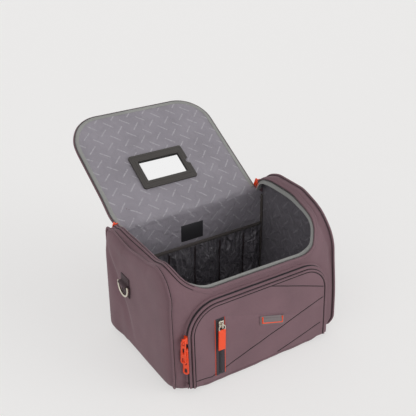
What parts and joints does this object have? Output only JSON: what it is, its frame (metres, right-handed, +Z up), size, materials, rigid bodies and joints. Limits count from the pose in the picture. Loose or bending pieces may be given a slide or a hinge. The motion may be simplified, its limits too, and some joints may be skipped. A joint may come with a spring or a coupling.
{
  "type": "soft cosmetic case",
  "caption": "Soft padded vanity case with a domed fabric body, fold-back zipped lid with slide-out mirror, gathered inner pockets, drop-down zipped front pocket, handle and strap rings.",
  "frame": {"origin": "middle of the underside of the base", "axes": "+X to the case's right seen from the front, +Y from the front to the hinge at the back, +Z up"},
  "size_m": [0.336, 0.4161, 0.3007],
  "materials": {
    "outer_fabric": "woven polyester twill over foam, mauve taupe",
    "dark_fabric": "dark zip tape and seam binding",
    "lining_fabric": "printed grey polyester lining",
    "grey_binding": "folded grey grosgrain tape",
    "webbing": "woven webbing",
    "elastic": "ribbed elastic",
    "board": "stiffening board",
    "label_cloth": "woven label, bare",
    "coil": "nylon zip coil",
    "orange_plastic": "moulded orange rubberised plastic",
    "orange_ribbon": "folded orange ribbon",
    "bright_metal": "nickel plated wire",
    "frame_plastic": "soft dark mirror frame",
    "mirror_card": "silvered mirror card",
    "badge_insert": "bare pale insert"
  },
  "bodies": {
    "case": {"gusset": "outer_fabric", "back_panel": "outer_fabric", "base_panel": "outer_fabric", "left_end_panel": "outer_fabric", "right_end_panel": "outer_fabric", "left_piping": "dark_fabric", "right_piping": "dark_fabric", "gusset_lining": "lining_fabric", "back_lining": "lining_fabric", "base_board": "board", "base_lining": "lining_fabric", "left_lining": "lining_fabric", "right_lining": "lining_fabric", "corner_bindings": "grey_binding", "rim_binding": "grey_binding", "main_zip_tape": "dark_fabric", "main_zip_coil": "coil", "gathered_pockets": "lining_fabric", "pocket_elastic": "elastic", "lining_label": "label_cloth", "ring_tabs": "webbing", "pocket_gusset": "dark_fabric", "pocket_zip_coil": "coil", "pocket_zip_tabs": "orange_plastic"},
    "lid_rear": {"lid_rear_panel": "outer_fabric", "lid_rear_lining": "lining_fabric"},
    "lid_top": {"lid_top_panel": "outer_fabric", "lid_top_lining": "lining_fabric", "lid_top_binding": "grey_binding", "lid_top_coil": "coil", "mirror_frame": "frame_plastic", "handle_anchors": "webbing"},
    "lid_front": {"lid_front_panel": "outer_fabric", "lid_front_lining": "lining_fabric", "lid_front_binding": "grey_binding", "lid_front_coil": "coil"},
    "mirror_card": {"mirror_glass": "mirror_card"},
    "carry_handle": {"handle": "webbing"},
    "left_slider": {"left_zip_slider": "orange_plastic"},
    "right_slider": {"right_zip_slider": "orange_plastic"},
    "left_pull": {"left_zip_pull": "orange_plastic"},
    "right_pull": {"right_zip_pull": "orange_plastic"},
    "flap": {"flap_panel": "outer_fabric", "flap_piping": "dark_fabric", "flap_zip_coil": "coil", "small_zip_tape": "dark_fabric", "small_zip_coil": "coil", "small_zip_trims": "orange_ribbon", "badge_plate": "orange_plastic", "badge_insert": "badge_insert"},
    "upper_slider": {"upper_pocket_slider": "orange_plastic"},
    "lower_slider": {"lower_pocket_slider": "orange_plastic"},
    "upper_pull": {"upper_pocket_pull": "orange_plastic"},
    "lower_pull": {"lower_pocket_pull": "orange_plastic"},
    "small_zip_slider": {"small_slider": "bright_metal"},
    "small_pull": {"small_pull_ring": "bright_metal", "small_pull_ribbon": "orange_ribbon"},
    "left_ring": {"left_d_ring": "bright_metal"},
    "right_ring": {"right_d_ring": "bright_metal"}
  },
  "joints": [
    {"name": "lid_fold", "type": "hinge", "parent": "case", "child": "lid_rear", "pos_m": [0, 0.103, 0.183], "axis": [1, 0, 0], "range_deg": [-40, 105]},
    {"name": "lid_bend_rear", "type": "hinge", "parent": "lid_rear", "child": "lid_top", "pos_m": [0, 0.13331, 0.2005], "axis": [1, 0, 0], "range_deg": [-17.2, 45.05]},
    {"name": "lid_bend_front", "type": "hinge", "parent": "lid_top", "child": "lid_front", "pos_m": [0, 0.24243, 0.2635], "axis": [1, 0, 0], "range_deg": [-17.2, 45.05]},
    {"name": "handle_swing", "type": "hinge", "parent": "lid_top", "child": "carry_handle", "pos_m": [0, 0.19087, 0.2268], "axis": [1, 0, 0], "range_deg": [-10, 70]},
    {"name": "mirror_slide", "type": "slide", "parent": "lid_top", "child": "mirror_card", "axis": [1, 0, 0], "range_m": [0, 0.07]},
    {"name": "left_zip_run", "type": "hinge", "parent": "case", "child": "left_slider", "pos_m": [0, 0.075, 0.18], "axis": [1, 0, 0], "range_deg": [0, 60]},
    {"name": "right_zip_run", "type": "hinge", "parent": "case", "child": "right_slider", "pos_m": [0, 0.075, 0.18], "axis": [1, 0, 0], "range_deg": [0, 60]},
    {"name": "left_pull_swing", "type": "hinge", "parent": "left_slider", "child": "left_pull", "pos_m": [-0.1364, 0.10578, 0.19244], "axis": [1, 0, 0], "range_deg": [0, 120]},
    {"name": "right_pull_swing", "type": "hinge", "parent": "right_slider", "child": "right_pull", "pos_m": [0.1364, 0.10578, 0.19244], "axis": [1, 0, 0], "range_deg": [0, 120]},
    {"name": "pocket_open", "type": "hinge", "parent": "case", "child": "flap", "pos_m": [0, -0.11062, 0.00741], "axis": [1, 0, 0], "range_deg": [0, 60]},
    {"name": "upper_zip_run", "type": "hinge", "parent": "case", "child": "upper_slider", "pos_m": [-0.081, -0.09797, 0.09487], "axis": [0, 0.9986, -0.0529], "range_deg": [0, 90]},
    {"name": "lower_zip_run", "type": "slide", "parent": "case", "child": "lower_slider", "axis": [0, -0.0529, -0.9986], "range_m": [0, 0.052]},
    {"name": "upper_pull_swing", "type": "hinge", "parent": "upper_slider", "child": "upper_pull", "pos_m": [-0.1384, -0.10686, 0.09534], "axis": [0, 1, 0], "range_deg": [0, 110]},
    {"name": "lower_pull_swing", "type": "hinge", "parent": "lower_slider", "child": "lower_pull", "pos_m": [-0.1353, -0.10792, 0.07537], "axis": [0, 1, 0], "range_deg": [0, 110]},
    {"name": "small_zip_run", "type": "slide", "parent": "flap", "child": "small_zip_slider", "axis": [0, -0.0529, -0.9986], "range_m": [0, 0.078]},
    {"name": "small_pull_swing", "type": "hinge", "parent": "small_zip_slider", "child": "small_pull", "pos_m": [-0.078, -0.11579, 0.10633], "axis": [-1, 0, 0], "range_deg": [0, 110]},
    {"name": "left_ring_swing", "type": "hinge", "parent": "case", "child": "left_ring", "pos_m": [-0.1649, 0.028, 0.127], "axis": [0, 1, 0], "range_deg": [0, 150]},
    {"name": "right_ring_swing", "type": "hinge", "parent": "case", "child": "right_ring", "pos_m": [0.1649, 0.028, 0.127], "axis": [0, -1, 0], "range_deg": [0, 150]}
  ],
  "couplings": [
    {"joint": "lid_bend_rear", "follows": "lid_fold", "ratio": 0.42857},
    {"joint": "lid_bend_front", "follows": "lid_fold", "ratio": 0.42857},
    {"joint": "upper_pull_swing", "follows": "lower_pull_swing", "ratio": 1}
  ]
}
